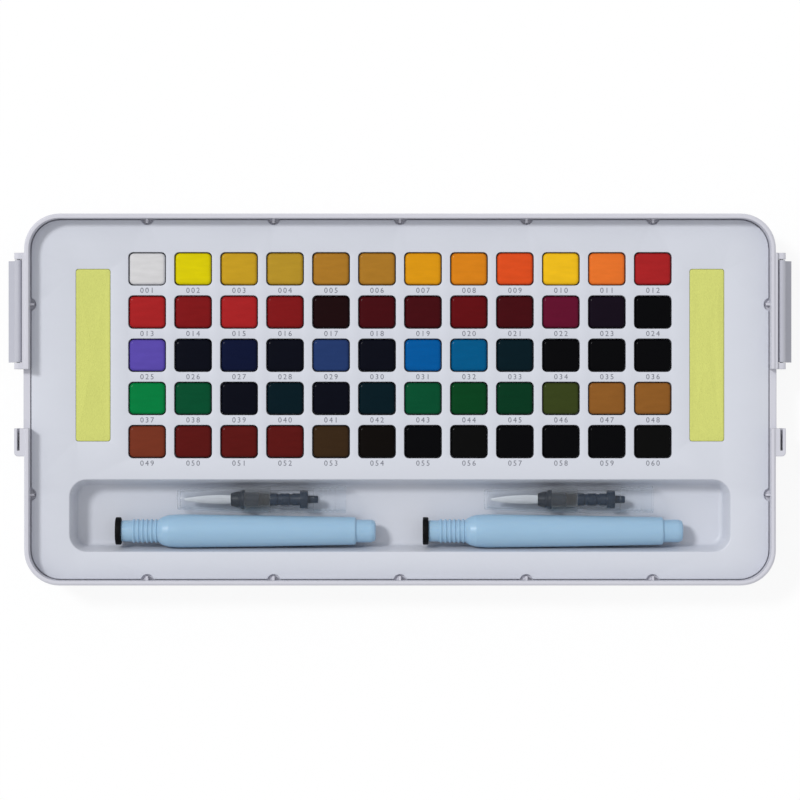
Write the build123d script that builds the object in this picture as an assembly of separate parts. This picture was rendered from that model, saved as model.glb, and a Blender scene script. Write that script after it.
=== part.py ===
"""Watercolour paint set: a shallow plastic case base with a snapped-in tray of sixty paint cakes,
two wiping sponges, two water brushes lying in a trough, and two over-centre side latches.

Millimetres, +Z up. The origin is the middle of the underside, X runs along the case
and the trough is at -Y. The lid that such a set also has is off in this part.
"""
from build123d import *
from math import atan, cos, degrees, pi, sin, sqrt
import os

# Case base
case_length = 309.2
case_width = 153.0
case_height = 24.0
case_corner = 14.5
case_wall = 1.9
case_floor = 1.8
case_rim_bevel = 0.7
case_foot_bevel = 2.2
ledge_thick = 1.5
ledge_reach = 3.4

# Thickened side pads, each with a latch hinge, a finger cut-out and a hook for the lid
pad_thick = 0.9
pad_top_y = 60.4
pad_bottom_y = -23.4
lug_length = 2.6
lug_radius = 1.7
lug_drop = 5.0
latch_low_y = 15.1
cutout_high_y = 12.5
cutout_low_y = -11.9
cutout_above_tray = 0.2
hook_reach = 3.2
hook_low_z = 9.0
hook_slot_wide = 1.0
hook_slot_wall = 1.2
hook_slot_end = 2.4
hook_round = 1.6

# Latches, drawn open and hanging beside the wall
latch_pin_radius = 0.7
latch_pin_fit = 0.05
latch_pin_inset = 0.3
latch_axis_below_rim = 3.4
latch_knuckle_radius = 1.5
latch_gap = 0.3
latch_plate = 1.8
latch_drop = 17.2
latch_hook_above_end = 3.6
latch_hook_tall = 1.6
latch_hook_reach = 4.0
latch_hook_lean = 0.5
latch_end_bevel = 0.5
latch_end_chamfer = 2.0

# Tray
tray_gap = 0.35
tray_thick = 1.6
tray_top_z = 17.5
notch_radius = 2.7
notch_depth = 2.0
notch_pitch = 52.2
notch_count_x = 5
notch_side_y = 39.3
rib_wide = 1.0
rib_above_tray = 2.0
rib_reach = 1.7

# Paint cakes and their sockets
paint_columns = 12
paint_rows = 5
paint_pitch_x = 19.0
paint_pitch_y = 17.85
paint_centre_y = 18.3
socket_length = 15.6
socket_width = 13.8
socket_depth = 8.0
socket_corner = 1.2
socket_wall = 1.4
cake_gap = 0.4
cake_corner = 1.5
cake_bevel = 0.6
cake_below_tray = 0.1

# Sponges
sponge_length = 70.6
sponge_width = 13.7
sponge_thick = 8.0
sponge_x = 126.8
sponge_gap = 0.3
sponge_seat_gap = 0.3
sponge_corner = 1.0

# Trough for the brushes
trough_length = 272.9
trough_width = 29.6
trough_depth = 12.0
trough_corner = 7.0
trough_centre_y = -48.0
trough_wall = 1.5
trough_slope = 2.3
trough_floor_bevel = 1.6

# Water brushes: a squeezable barrel with its travel plug, and a capped brush head beside it
brush_shift = 127.3
brush_seat_gap = 0.3
brush_flats = 18
barrel_end_room = 20.95
barrel_y = -54.5
neck_radius = 4.4
neck_length = 15.1
shoulder_length = 4.6
barrel_radius = 6.9
belly_length = 6.0
barrel_length = 97.2
barrel_tail_radius = 5.75
stub_radius = 4.7
stub_length = 8.3
stub_chamfer = 1.4
barrel_wall = 1.0
plug_radius = 5.8
plug_thick = 2.4
plug_bevel = 0.4
plug_spigot_radius = 3.3
plug_spigot_length = 6.0
plug_fit = 0.06

head_y = -41.5
cap_offset = 23.1
cap_length = 38.2
cap_end_radius = 4.3
cap_radius = 5.8
cap_wall = 0.8
cap_end_wall = 1.2
head_length = 42.0
head_spigot_length = 10.2
head_fit = 0.06
head_step_gap = 0.3
thread_bore_radius = 5.0
thread_bore_length = 13.6
feed_bore_radius = 3.9
ferrule_bore_radius = 3.0
ferrule_nose_length = 5.8
ferrule_base_radius = 4.2
ferrule_nose_radius = 2.5
ferrule_tail_length = 6.0
ferrule_fit = 0.06
feed_radius = 2.6
feed_flange_from = 12.4
feed_flange_length = 3.3
feed_nipple_radius = 1.6
feed_nipple_length = 4.2
feed_hole_radius = 0.8

# Bristles: straight tapered three-sided strands, spread evenly over a disc
strand_count = 150
strand_length = 19.1
strand_root_radius = 0.10
strand_tip_radius = 0.03
tuft_root_radius = 1.9
tuft_tip_radius = 0.55
tuft_slice_radius = 2.1
tuft_slice_thick = 1.4
tuft_slice_sunk = 1.3

# Worked out from the sizes above
recess_length = case_length - 2 * case_wall
recess_width = case_width - 2 * case_wall
tray_length = recess_length - 2 * tray_gap
tray_width = recess_width - 2 * tray_gap
recess_corner = case_corner - case_wall
tray_corner = recess_corner - tray_gap
ledge_z = tray_top_z - tray_thick
pad_x = case_length / 2 + pad_thick
latch_axis_x = pad_x + latch_gap + latch_knuckle_radius
latch_axis_z = case_height - latch_axis_below_rim
latch_high_y = pad_top_y - lug_length
socket_floor_z = tray_top_z - socket_depth
well_floor_z = tray_top_z - sponge_thick - sponge_seat_gap
trough_floor_z = tray_top_z - trough_depth
barrel_z = trough_floor_z + brush_seat_gap + barrel_radius
head_z = trough_floor_z + brush_seat_gap + cap_radius
barrel_start_x = barrel_end_room - trough_length / 2
cap_start_x = barrel_start_x + cap_offset
head_start_x = cap_start_x + cap_length - head_spigot_length
cap_bore_radius = cap_radius - cap_wall


def rounded_prism(length, width, corner, low, high, centre=(0, 0)):
    """An upright prism with rounded corners between two heights."""
    outline = Pos(centre[0], centre[1]) * RectangleRounded(length, width, corner)
    return extrude(Pos(0, 0, low) * outline, high - low)


def block(x0, x1, y0, y1, z0, z1):
    """A box by its six sides, given in any order."""
    size = (abs(x1 - x0), abs(y1 - y0), abs(z1 - z0))
    return Pos((x0 + x1) / 2, (y0 + y1) / 2, (z0 + z1) / 2) * Box(*size)


def rod(x, z, radius, low_y, high_y):
    """A round rod along Y."""
    return Pos(x, (low_y + high_y) / 2, z) * Rot(90, 0, 0) * Cylinder(radius, high_y - low_y)


def clipped_prism(length, width, corner, low, high):
    """An upright prism with its four corners cut at 45 degrees."""
    prism = Pos(0, 0, low) * Box(length, width, high - low, align=(Align.CENTER, Align.CENTER, Align.MIN))
    return chamfer(prism.edges().filter_by(Axis.Z), corner)


def ring_wire(distance, radius):
    """The outline of a round piece's section across +X, drawn with the brushes' narrow flats."""
    step = 2 * pi / brush_flats
    return Wire.make_polygon(
        [(distance, radius * cos((i + 0.5) * step), radius * sin((i + 0.5) * step)) for i in range(brush_flats)]
    )


def bands(points):
    """The faces swept by a line of (distance, radius) points round the X axis, as rings of narrow flats."""
    step = 2 * pi / brush_flats
    faces = []
    for (s0, r0), (s1, r1) in zip(points, points[1:]):
        if r0 == r1 == 0:
            continue
        if s0 == s1:
            inner, outer = sorted((r0, r1))
            holes = [ring_wire(s0, inner)] if inner > 0 else []
            faces.append(Face(ring_wire(s0, outer), holes))
            continue
        for i in range(brush_flats):
            low, high = (i + 0.5) * step, (i + 1.5) * step
            corners = [(s0, r0, low), (s1, r1, low), (s1, r1, high), (s0, r0, high)]
            faces.append(Face(Wire.make_polygon([(s, r * cos(a), r * sin(a)) for s, r, a in corners])))
    return faces


def turned(points, start_x, y, z):
    """A round piece on a line along +X, from (distance, radius) points of its half section."""
    if points[0][1] > 0:
        points = points + points[:1]
    return Pos(start_x, y, z) * Solid(Shell(bands(points)))


def along_edges():
    """Middle points and inward directions of the snap notches round the tray."""
    first = -(notch_count_x - 1) / 2 * notch_pitch
    spots = []
    for side in (-1, 1):
        for step in range(notch_count_x):
            spots.append((first + step * notch_pitch, side * tray_width / 2, 0, -side))
        for end in (-1, 1):
            spots.append((side * tray_length / 2, end * notch_side_y, -side, 0))
    return spots


def paint_places(row):
    """Centres of one row's cakes, from left to right."""
    first = -(paint_columns - 1) / 2 * paint_pitch_x
    y = paint_centre_y + ((paint_rows - 1) / 2 - row) * paint_pitch_y
    return [(first + column * paint_pitch_x, y) for column in range(paint_columns)]


def case_shell():
    """The open box with its rounded rim and foot, and the ledge that the tray rests on."""
    shell = rounded_prism(case_length, case_width, case_corner, 0, case_height)
    shell = chamfer(shell.faces().sort_by(Axis.Z)[-1].edges(), case_rim_bevel)
    shell = chamfer(shell.faces().sort_by(Axis.Z)[0].edges(), case_foot_bevel)
    hollow = rounded_prism(recess_length, recess_width, recess_corner, case_floor, case_height + 1)
    ledge = rounded_prism(recess_length, recess_width, recess_corner, ledge_z - ledge_thick, ledge_z)
    window = rounded_prism(
        recess_length - 2 * ledge_reach,
        recess_width - 2 * ledge_reach,
        recess_corner - ledge_reach,
        ledge_z - ledge_thick - 1,
        ledge_z + 1,
    )
    return shell - hollow + (ledge - window)


def case_ribs():
    """Snap ribs on the inner wall, one in each notch of the tray."""
    ribs = []
    for x, y, dx, dy in along_edges():
        wall = (x - dx * tray_gap, y - dy * tray_gap)
        tip = (wall[0] + dx * rib_reach, wall[1] + dy * rib_reach)
        across = (abs(dy) * rib_wide / 2, abs(dx) * rib_wide / 2)
        ribs.append(
            block(
                wall[0] - dx * case_wall / 2 - across[0],
                tip[0] + across[0],
                wall[1] - dy * case_wall / 2 - across[1],
                tip[1] + across[1],
                ledge_z - ledge_thick / 2,
                tray_top_z + rib_above_tray,
            )
        )
    return ribs


def latch_lug(low, high):
    """One hinge lug on the right wall, with its sloped underside tangent to the eye."""
    top, inside = latch_axis_z + lug_radius, pad_x - pad_thick
    outline = Polyline(
        (inside, top),
        (latch_axis_x, top),
        (latch_axis_x + 0.8 * lug_radius, latch_axis_z - 0.6 * lug_radius),
        (pad_x, latch_axis_z - lug_drop),
        (inside, latch_axis_z - lug_drop),
        close=True,
    )
    arm = extrude(Plane((0, high, 0), x_dir=(1, 0, 0), z_dir=(0, -1, 0)) * make_face(outline), high - low)
    return arm + rod(latch_axis_x, latch_axis_z, lug_radius, low, high)


def lid_hook():
    """The hook block on the right wall, round at its outer lower corner, with a channel from above."""
    hook = block(pad_x - pad_thick, pad_x + hook_reach, pad_bottom_y, cutout_low_y,
                 hook_low_z, case_height - case_rim_bevel)
    corner = hook.edges().filter_by(Axis.Z).sort_by(Axis.Y)[:2].sort_by(Axis.X)[-1]
    slot_far = pad_x + hook_reach - hook_slot_wall
    slot = block(slot_far - hook_slot_wide, slot_far, pad_bottom_y + hook_slot_end,
                 cutout_low_y + 1, hook_low_z - 1, case_height)
    return fillet(corner, hook_round) - slot


def case_side():
    """Solids to add on the right side wall, and solids to cut from it."""
    pad = block(case_length / 2 - case_wall / 2, pad_x, pad_bottom_y, pad_top_y,
                case_foot_bevel, case_height - case_rim_bevel)
    lugs = [latch_lug(latch_high_y, pad_top_y), latch_lug(cutout_high_y, latch_low_y)]
    cutout = block(case_length / 2 - case_wall - 1, pad_x + 1, cutout_low_y, cutout_high_y,
                   tray_top_z + cutout_above_tray, case_height + 1)
    bore = rod(latch_axis_x, latch_axis_z, latch_pin_radius, cutout_high_y - 1, pad_top_y + 1)
    return [pad, lid_hook()] + lugs, [cutout, bore]


def base_case():
    """The case base in one moulding, alike on both sides."""
    added, removed = case_side()
    body = case_shell() + added + [mirror(solid, Plane.YZ) for solid in added] + case_ribs()
    return body - (removed + [mirror(solid, Plane.YZ) for solid in removed])


def paint_tray():
    """The tray with its sockets, sponge wells and brush trough, notched for the snap ribs."""
    tray = rounded_prism(tray_length, tray_width, tray_corner, ledge_z, tray_top_z)
    grid_length = (paint_columns - 1) * paint_pitch_x + socket_length + 2 * socket_wall
    grid_width = (paint_rows - 1) * paint_pitch_y + socket_width + 2 * socket_wall
    grid_low = socket_floor_z - socket_wall
    grid = block(-grid_length / 2, grid_length / 2, paint_centre_y - grid_width / 2,
                 paint_centre_y + grid_width / 2, grid_low, ledge_z + tray_thick / 2)
    well_length = sponge_length + 2 * sponge_gap
    well_width = sponge_width + 2 * sponge_gap
    wells, hollows = [], []
    for side in (-1, 1):
        wells.append(block(side * sponge_x - well_width / 2 - socket_wall,
                           side * sponge_x + well_width / 2 + socket_wall,
                           paint_centre_y - well_length / 2 - socket_wall,
                           paint_centre_y + well_length / 2 + socket_wall,
                           well_floor_z - socket_wall, ledge_z + tray_thick / 2))
        hollows.append(rounded_prism(well_width, well_length, sponge_corner, well_floor_z,
                                     tray_top_z + 1, (side * sponge_x, paint_centre_y)))
    for x, y, dx, dy in along_edges():
        outside = notch_radius - notch_depth
        centre = (x - dx * outside, y - dy * outside, ledge_z - 1)
        hollows.append(Pos(*centre) * Cylinder(
            notch_radius, tray_thick + 2, align=(Align.CENTER, Align.CENTER, Align.MIN)))
    socket = clipped_prism(socket_length, socket_width, socket_corner, socket_floor_z, tray_top_z + 1)
    for row in range(paint_rows):
        hollows += [Pos(x, y) * socket for x, y in paint_places(row)]
    tray = tray + [grid, trough_form(trough_wall)] + wells
    return tray - (hollows + [trough_form(0)])


def trough_form(shell):
    """The trough's hollow, or with a shell thickness the outside of its walls."""
    outline = RectangleRounded(trough_length + 2 * shell, trough_width + 2 * shell, trough_corner + shell)
    top = Pos(0, trough_centre_y, tray_top_z)
    slope = degrees(atan(trough_slope / trough_depth))
    if shell:
        return top * Pos(0, 0, -tray_thick / 2) * extrude(
            outline, -(trough_depth + shell - tray_thick / 2), taper=slope)
    basin = extrude(outline, -trough_depth, taper=slope)
    basin = chamfer(basin.faces().sort_by(Axis.Z)[0].edges(), trough_floor_bevel)
    return top * basin


def paint_row(row):
    """Twelve separate cakes, each bevelled round its top."""
    length, width = socket_length - 2 * cake_gap, socket_width - 2 * cake_gap
    cake = clipped_prism(length, width, cake_corner, socket_floor_z, tray_top_z - cake_below_tray)
    cake = chamfer(cake.faces().sort_by(Axis.Z)[-1].edges(), cake_bevel)
    return Compound(children=[Pos(x, y) * cake for x, y in paint_places(row)])


def sponge(side):
    """A wiping sponge, flush with the tray."""
    return rounded_prism(sponge_width, sponge_length, sponge_corner, tray_top_z - sponge_thick,
                         tray_top_z, (side * sponge_x, paint_centre_y))


def latch():
    """The right snap latch: knuckle, plate, the hook that catches the lid, and a finger end."""
    low_y, high_y = latch_low_y + latch_gap, latch_high_y - latch_gap
    outer = latch_axis_x + latch_knuckle_radius
    inner = outer - latch_plate
    end_z = latch_axis_z - latch_drop
    hook_z = end_z + latch_hook_above_end
    section = Polyline(
        (inner, latch_axis_z),
        (inner, end_z + latch_end_bevel),
        (inner + latch_end_bevel, end_z),
        (outer - latch_end_bevel, end_z),
        (outer, end_z + latch_end_bevel),
        (outer, hook_z),
        (outer + latch_hook_reach, hook_z + latch_hook_lean),
        (outer + latch_hook_reach, hook_z + latch_hook_tall),
        (outer, hook_z + latch_hook_tall + latch_hook_reach / 2),
        (outer, latch_axis_z),
        close=True,
    )
    plate = extrude(Plane((0, high_y, 0), x_dir=(1, 0, 0), z_dir=(0, -1, 0)) * make_face(section),
                    high_y - low_y)
    plate = plate - [clip_corner(low_y, 1, end_z), clip_corner(high_y, -1, end_z)]
    bore = rod(latch_axis_x, latch_axis_z, latch_pin_radius + latch_pin_fit, low_y - 1, high_y + 1)
    return plate + rod(latch_axis_x, latch_axis_z, latch_knuckle_radius, low_y, high_y) - bore


def clip_corner(edge_y, turn, end_z):
    """A wedge that cuts one lower corner of the latch plate at 45 degrees."""
    reach = latch_end_chamfer + 1
    wedge = Polyline((edge_y - turn, end_z - 1), (edge_y + turn * reach, end_z - 1),
                     (edge_y - turn, end_z + reach), close=True)
    face = Plane((pad_x, 0, 0), x_dir=(0, 1, 0), z_dir=(1, 0, 0)) * make_face(wedge)
    return extrude(face, 2 * latch_knuckle_radius + latch_hook_reach + 1)


def latch_pin():
    """The right latch's hinge pin, held in both lugs."""
    return rod(latch_axis_x, latch_axis_z, latch_pin_radius,
               cutout_high_y + latch_pin_inset, pad_top_y - latch_pin_inset)


def barrel(shift):
    """The hollow squeeze barrel: neck, shoulder, tapering body and tail stub."""
    shoulder = neck_length + shoulder_length
    belly = shoulder + belly_length
    total = barrel_length + stub_length
    wall = barrel_wall
    return turned(
        [
            (0, neck_radius - wall),
            (0, neck_radius),
            (neck_length, neck_radius),
            (shoulder, barrel_radius),
            (belly, barrel_radius),
            (barrel_length, barrel_tail_radius),
            (barrel_length, stub_radius),
            (total - stub_chamfer, stub_radius),
            (total, stub_radius - stub_chamfer),
            (total, 0),
            (barrel_length - wall, 0),
            (barrel_length - wall, barrel_tail_radius - wall),
            (belly, barrel_radius - wall),
            (shoulder, barrel_radius - wall),
            (neck_length, neck_radius - wall),
        ],
        barrel_start_x + shift, barrel_y, barrel_z,
    )


def plug(shift):
    """The travel plug that closes the barrel's neck while the brush head is off."""
    spigot = min(plug_spigot_radius, neck_radius - barrel_wall - plug_fit)
    return turned(
        [
            (-plug_thick, 0),
            (-plug_thick, plug_radius - plug_bevel),
            (plug_bevel - plug_thick, plug_radius),
            (-plug_bevel, plug_radius),
            (0, plug_radius - plug_bevel),
            (0, spigot),
            (plug_spigot_length, spigot),
            (plug_spigot_length, 0),
        ],
        barrel_start_x + shift, barrel_y, barrel_z,
    )


def cap(shift):
    """The clear cap over the bristles, closed at its narrow end."""
    bore_end = cap_length - head_spigot_length
    return turned(
        [
            (0, 0),
            (0, cap_end_radius),
            (bore_end, cap_radius),
            (cap_length, cap_radius),
            (cap_length, cap_bore_radius),
            (bore_end, cap_bore_radius),
            (cap_end_wall, cap_end_radius - cap_wall),
            (cap_end_wall, 0),
        ],
        cap_start_x + shift, head_y, head_z,
    )


def brush_head(shift):
    """The clear grip: spigot for the cap, seat for the ferrule, and the bore for the barrel's neck."""
    body = head_spigot_length + head_step_gap
    bore = head_length - thread_bore_length
    return turned(
        [
            (0, ferrule_bore_radius),
            (0, cap_bore_radius - head_fit),
            (body, cap_bore_radius - head_fit),
            (body, cap_radius),
            (head_length, cap_radius),
            (head_length, thread_bore_radius),
            (bore, thread_bore_radius),
            (bore, feed_bore_radius),
            (body, feed_bore_radius),
            (body, ferrule_bore_radius),
        ],
        head_start_x + shift, head_y, head_z,
    )


def ferrule(shift):
    """The dark cone that holds the bristles, with its tail in the grip."""
    tail = ferrule_bore_radius - ferrule_fit
    return turned(
        [
            (tuft_slice_sunk - ferrule_nose_length, 0),
            (tuft_slice_sunk - ferrule_nose_length, tuft_slice_radius + ferrule_fit),
            (-ferrule_nose_length, tuft_slice_radius + ferrule_fit),
            (-ferrule_nose_length, ferrule_nose_radius),
            (0, ferrule_base_radius),
            (0, tail),
            (ferrule_tail_length, tail),
            (ferrule_tail_length, 0),
        ],
        head_start_x + shift, head_y, head_z,
    )


def tuft():
    """Strands that run straight to a point, fused to a slice of their backing that ends at x = 0."""
    backing = turned([(-tuft_slice_thick, 0), (-tuft_slice_thick, tuft_slice_radius),
                      (0, tuft_slice_radius), (0, 0)], 0, 0, 0)
    turn = pi * (3 - sqrt(5))
    narrowing = tuft_tip_radius / tuft_root_radius
    strands = []
    for index in range(strand_count):
        reach = (tuft_root_radius - strand_root_radius) * sqrt((index + 0.5) / strand_count)
        y, z = reach * cos(index * turn), reach * sin(index * turn)
        root = Plane((-tuft_slice_thick / 2, y, z), x_dir=(0, 1, 0), z_dir=(-1, 0, 0))
        tip = Plane((-tuft_slice_thick - strand_length, y * narrowing, z * narrowing),
                    x_dir=(0, 1, 0), z_dir=(-1, 0, 0))
        strands.append(loft([root * RegularPolygon(strand_root_radius, 3),
                             tip * RegularPolygon(strand_tip_radius, 3)], ruled=True))
    return backing.fuse(*strands)


def feed(shift):
    """The inner valve body that meters water to the bristles, with its flange and nipple."""
    start = head_start_x + shift + head_spigot_length + head_step_gap
    flange_end = feed_flange_from + feed_flange_length
    end = flange_end + feed_nipple_length
    return turned(
        [
            (0, feed_hole_radius),
            (0, feed_radius),
            (feed_flange_from, feed_radius),
            (feed_flange_from, feed_bore_radius - head_fit),
            (flange_end, feed_bore_radius - head_fit),
            (flange_end, feed_nipple_radius),
            (end, feed_nipple_radius),
            (end, feed_hole_radius),
        ],
        start, head_y, head_z,
    )


def build():
    """Every node by name."""
    nodes = {"base_case": base_case(), "paint_tray": paint_tray()}
    for row in range(paint_rows):
        nodes[f"paint_row_{row + 1}"] = paint_row(row)
    for name, side in (("left", -1), ("right", 1)):
        nodes[f"sponge_{name}"] = sponge(side)
    for piece, solid in (("latch", latch()), ("latch_pin", latch_pin())):
        nodes[f"{piece}_right"] = solid
        nodes[f"{piece}_left"] = mirror(solid, Plane.YZ)
    makers = {"barrel": barrel, "plug": plug, "cap": cap, "brush_head": brush_head,
              "ferrule": ferrule, "feed": feed}
    one_tuft = tuft()
    tuft_x = head_start_x - ferrule_nose_length + tuft_slice_sunk
    for name, shift in (("left", 0), ("right", brush_shift)):
        nodes[f"bristles_{name}"] = Pos(tuft_x + shift, head_y, head_z) * one_tuft
        for piece, maker in makers.items():
            nodes[f"{piece}_{name}"] = maker(shift)
    return nodes


os.makedirs("parts", exist_ok=True)
for node, shape in build().items():
    export_step(shape, f"parts/{node}.step")
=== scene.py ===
"""Watercolour paint set: the looks of an open case with its tray, paints, sponges and brushes."""
from math import cos, pi, radians, sin, sqrt
from random import Random

import bmesh
import bpy
from bpy.props import FloatProperty, FloatVectorProperty, IntProperty, PointerProperty
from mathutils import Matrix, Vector


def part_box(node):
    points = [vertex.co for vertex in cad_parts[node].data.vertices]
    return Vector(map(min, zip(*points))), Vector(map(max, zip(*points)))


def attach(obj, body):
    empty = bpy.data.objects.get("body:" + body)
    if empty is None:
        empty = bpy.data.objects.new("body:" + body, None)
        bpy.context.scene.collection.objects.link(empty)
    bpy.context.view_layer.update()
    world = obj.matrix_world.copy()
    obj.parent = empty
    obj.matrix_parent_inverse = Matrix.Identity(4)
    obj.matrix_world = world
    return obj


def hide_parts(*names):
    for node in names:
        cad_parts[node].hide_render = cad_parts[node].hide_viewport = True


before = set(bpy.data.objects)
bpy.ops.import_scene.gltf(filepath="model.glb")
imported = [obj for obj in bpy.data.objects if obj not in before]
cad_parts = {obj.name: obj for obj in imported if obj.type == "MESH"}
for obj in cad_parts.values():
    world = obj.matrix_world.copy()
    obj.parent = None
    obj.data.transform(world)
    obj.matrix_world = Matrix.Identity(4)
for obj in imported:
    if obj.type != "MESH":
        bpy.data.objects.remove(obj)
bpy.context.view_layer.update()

bl_info = {
    "name": "Watercolour Paint Set",
    "version": (1, 0, 0),
    "blender": (4, 5, 0),
    "location": "3D View > Sidebar > Paint Set",
    "description": "Finishes a watercolour paint set: case, tray, paints, sponges and water brushes",
    "category": "Object",
}

MM = 0.001
SIDES = ("left", "right")
ROWS = 5
COLUMNS = 12

# Table, lamp, room and camera
TABLE_REACH = 3.0
TABLE_TOP = -0.1 * MM
TABLE_GLOW = 0.88
SUN_STRENGTH = 1.5
SUN_DEGREES = 11
SUN_AIM = (0.53, -0.36, -0.86)
ROOM_TINT = (0.985, 0.99, 1.0, 1.0)
ROOM_STRENGTH = 0.68
CAMERA_PLACE = (0.0, -0.0002, 1.324)
CAMERA_SENSOR = 36.0
CAMERA_LENS = 142.3
CAMERA_FAR = 20.0

# Clear plastic: its own tint, then how haze and gloss grow as it is seen at a slant
CLEAR_TINT = (0.988, 0.994, 1.0, 1.0)
SLANT_POWER = 3.0
SLANT_HAZE = 0.5
CLEAR_GLOSS = (0.012, 0.55)

# Where most values of a noise texture lie
NOISE_SPAN = (0.3, 0.7)

# Curves: the least that counts as a corner, and the steps that curves are cut into
LEAST_CORNER = 0.02 * MM
LEAST_REACH = 1e-6
ON_AXIS = 1e-7
SOFT_SHARE = 0.45
EDGE_STEPS = 3
SLOPE_STEPS = 4
CURVE_STEPS = 8
TURNED_SHARP = 40
FLUTED_SIDES = 144

# Tray: the round values are shares of the edge rounding
HOLE_ROUND = 0.7
TROUGH_ROUND = 1.6
SOCKET_FOOT = 0.2 * MM
WELL_GAP = 0.3 * MM
WELL_CORNER = 1.0 * MM
TROUGH_FOOT = 2.0 * MM

# Cakes: CAKE_LEAN is in millimetres over a cake's length
CAKE_GAP = 0.42 * MM
CAKE_CORNER_LESS = 0.2 * MM
CAKE_LEAN = 0.08
CORNER_SHARE = 0.6

# Printed numbers
PRINT_RISE = 0.03 * MM
FONT_TO_HEIGHT = 1.42
FONT_SPACING = 1.35

# Sponges, pressed into their wells: SPONGE_DIP is in millimetres
SPONGE_PRESS = 0.22 * MM
SPONGE_EDGE = 0.4 * MM
SPONGE_CORNER = 1.0 * MM
SPONGE_FOOT_CORNER = 0.8 * MM
SPONGE_DIP = 0.06

# Tufts: each station gives a share of the length, of the spread and of a strand's thickness
BACK_THICK = 1.4 * MM
BACK_RADIUS = 2.08 * MM
TUFT_RADIUS = 1.85 * MM
STRAND_RADIUS = 0.085 * MM
TUFT_STATIONS = ((0.0, 0.92, 1.0), (0.25, 1.0, 1.0), (0.5, 0.9, 0.95), (0.75, 0.64, 0.8),
                 (1.0, 0.22, 0.35))

# Half sections of the brushes' round pieces in millimetres: distance from the left end, radius
BARREL_INSIDE = ((96.2, 0), (96.2, 4.7), (25.7, 5.85), (19.7, 5.7), (15.1, 3.4))
BARREL_MOUTH = ((0, 3.4), (0, 4.4), (4.2, 4.4))
NECK_RING = ((-0.5, 4.45), (-0.2, 4.98), (0.25, 4.98), (0.6, 4.45))
BARREL_OUTSIDE = (
    (15.3, 4.6), (15.8, 5.0), (17.2, 5.9), (19.7, 6.62), (23.5, 6.86), (27.0, 6.86), (60.0, 6.42),
    (96.6, 5.76), (97.2, 5.45), (97.3, 4.7), (103.6, 4.7), (105.1, 4.1), (105.45, 2.8), (105.5, 0),
)
PLUG = (
    (0, 0), (0, 4.6), (0.35, 4.9), (0.35, 5.3), (0.0, 5.45), (0.25, 5.74), (2.1, 5.74), (2.4, 5.4),
    (2.4, 3.28), (8.1, 3.28), (8.4, 2.9), (8.4, 0),
)
CAP_BORE = ((1.2, 0), (1.2, 3.5), (6, 3.75), (28, 5.0), (38.2, 5.0))
CAP_OUTSIDE = (
    (38.2, 5.76), (37.2, 5.76), (37.0, 5.62), (36.2, 5.62), (36.0, 5.74), (28, 5.74), (3.0, 4.37),
    (2.6, 4.15), (1.9, 4.15), (1.6, 4.3), (0.3, 4.2), (0, 3.8), (0, 0),
)
GRIP_BORE = ((0, 3.0), (10.5, 3.0), (10.5, 3.9), (28.4, 3.9), (28.4, 5.0), (30.6, 5.0))
GRIP_RING = ((-0.5, 5.0), (-0.15, 4.68), (0.2, 4.68), (0.5, 5.0))
GRIP_OUTSIDE = (
    (42.0, 5.0), (42.0, 5.76), (12.5, 5.76), (11.9, 5.62), (11.3, 5.76), (10.5, 5.76),
    (10.5, 4.92), (0.4, 4.9), (0, 4.6), (0, 3.0),
)
NOSE_CONE = (
    (1.3, 0), (1.3, 2.12), (0, 2.12), (0, 2.45), (0.5, 2.75), (3.2, 3.45), (3.4, 3.3), (3.9, 3.4),
    (4.1, 3.75), (5.3, 4.15), (5.8, 4.15), (5.8, 2.93), (11.6, 2.93), (11.8, 2.7), (11.8, 0),
)
VALVE = (
    (0, 0.8), (0, 2.55), (3.0, 2.55), (3.2, 2.25), (4.2, 2.25), (4.4, 2.55), (8.0, 2.55),
    (8.2, 2.25), (9.2, 2.25), (9.4, 2.55), (12.4, 2.55), (12.4, 3.8), (15.7, 3.8), (15.7, 1.58),
    (19.6, 1.5), (19.9, 1.3), (19.9, 0.8), (0, 0.8),
)

# Paints as they look under a white lamp
PIGMENTS = {
    "chinese white": (208, 207, 208),
    "lemon": (212, 197, 6),
    "yellow ochre": (192, 152, 34),
    "raw ochre": (176, 140, 40),
    "bronze ochre": (166, 116, 38),
    "warm yellow": (213, 146, 18),
    "amber": (210, 126, 24),
    "gold yellow": (232, 183, 28),
    "red orange": (214, 76, 30),
    "light orange": (224, 112, 42),
    "scarlet": (162, 33, 35),
    "crimson": (124, 21, 23),
    "cherry": (94, 11, 16),
    "wine": (66, 8, 14),
    "maroon": (27, 6, 8),
    "magenta": (94, 14, 42),
    "dark violet": (18, 9, 22),
    "violet": (88, 72, 164),
    "navy": (10, 18, 48),
    "night blue": (6, 8, 20),
    "cobalt": (34, 55, 102),
    "cerulean": (0, 84, 150),
    "turquoise": (0, 84, 130),
    "teal": (2, 24, 32),
    "emerald": (2, 120, 60),
    "viridian": (3, 74, 44),
    "leaf green": (4, 62, 28),
    "moss green": (3, 52, 29),
    "olive": (53, 63, 25),
    "light brown": (136, 87, 36),
    "burnt orange": (114, 50, 32),
    "brick": (87, 19, 17),
    "umber": (54, 37, 20),
    "sepia": (10, 6, 4),
    "charcoal": (6, 6, 6),
    "ivory black": (2, 2, 4),
}
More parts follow.
